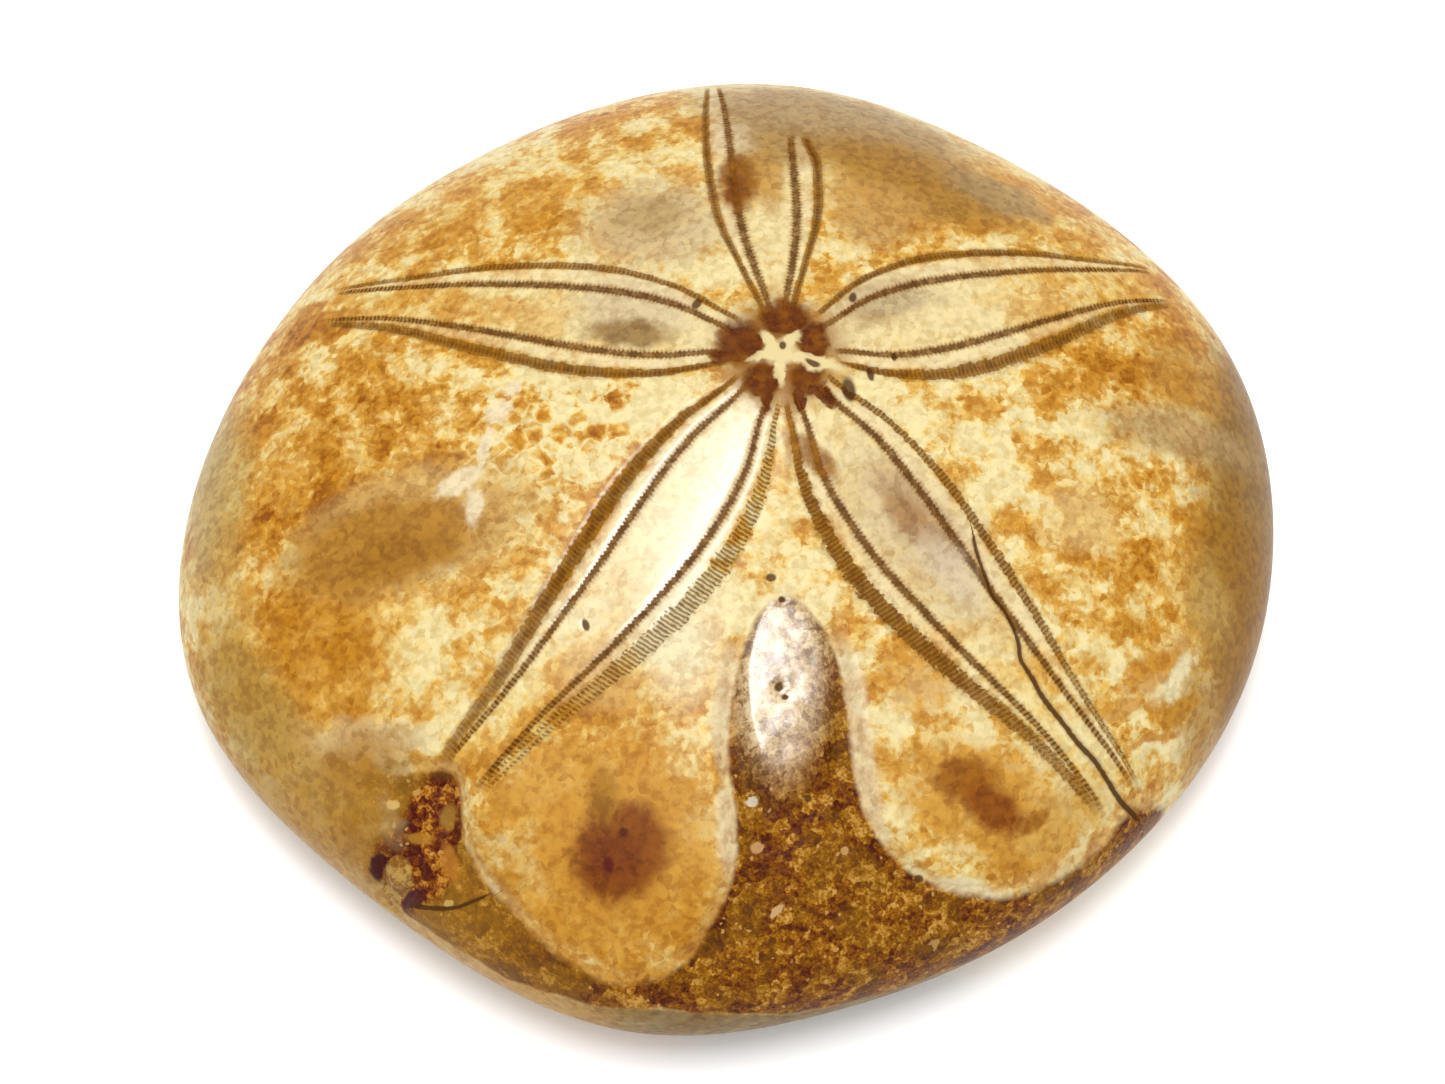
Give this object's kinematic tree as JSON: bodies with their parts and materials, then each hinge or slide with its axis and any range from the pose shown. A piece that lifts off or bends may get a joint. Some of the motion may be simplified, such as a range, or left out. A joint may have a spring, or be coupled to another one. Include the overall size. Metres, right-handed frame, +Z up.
{
  "type": "fossil sea urchin",
  "caption": "Polished fossil sea urchin: a low rounded stone dome with a petal star, lobed front edge and bare filling, lying on its flat underside.",
  "frame": {"origin": "middle of the footprint, on the plane that the underside rests on", "axes": "+Z up, away from the resting plane; +X across the shell, its longest extent; -Y towards the front edge with the two lobes, +Y towards the opposite margin"},
  "size_m": [0.065, 0.0621, 0.019],
  "materials": {
    "polished_calcite": "polished calcite shell in mottled cream and ochre with brown pore lines; bare brown rock filling at the front"
  },
  "bodies": {
    "root": {"sea_urchin": "polished_calcite"}
  },
  "joints": []
}
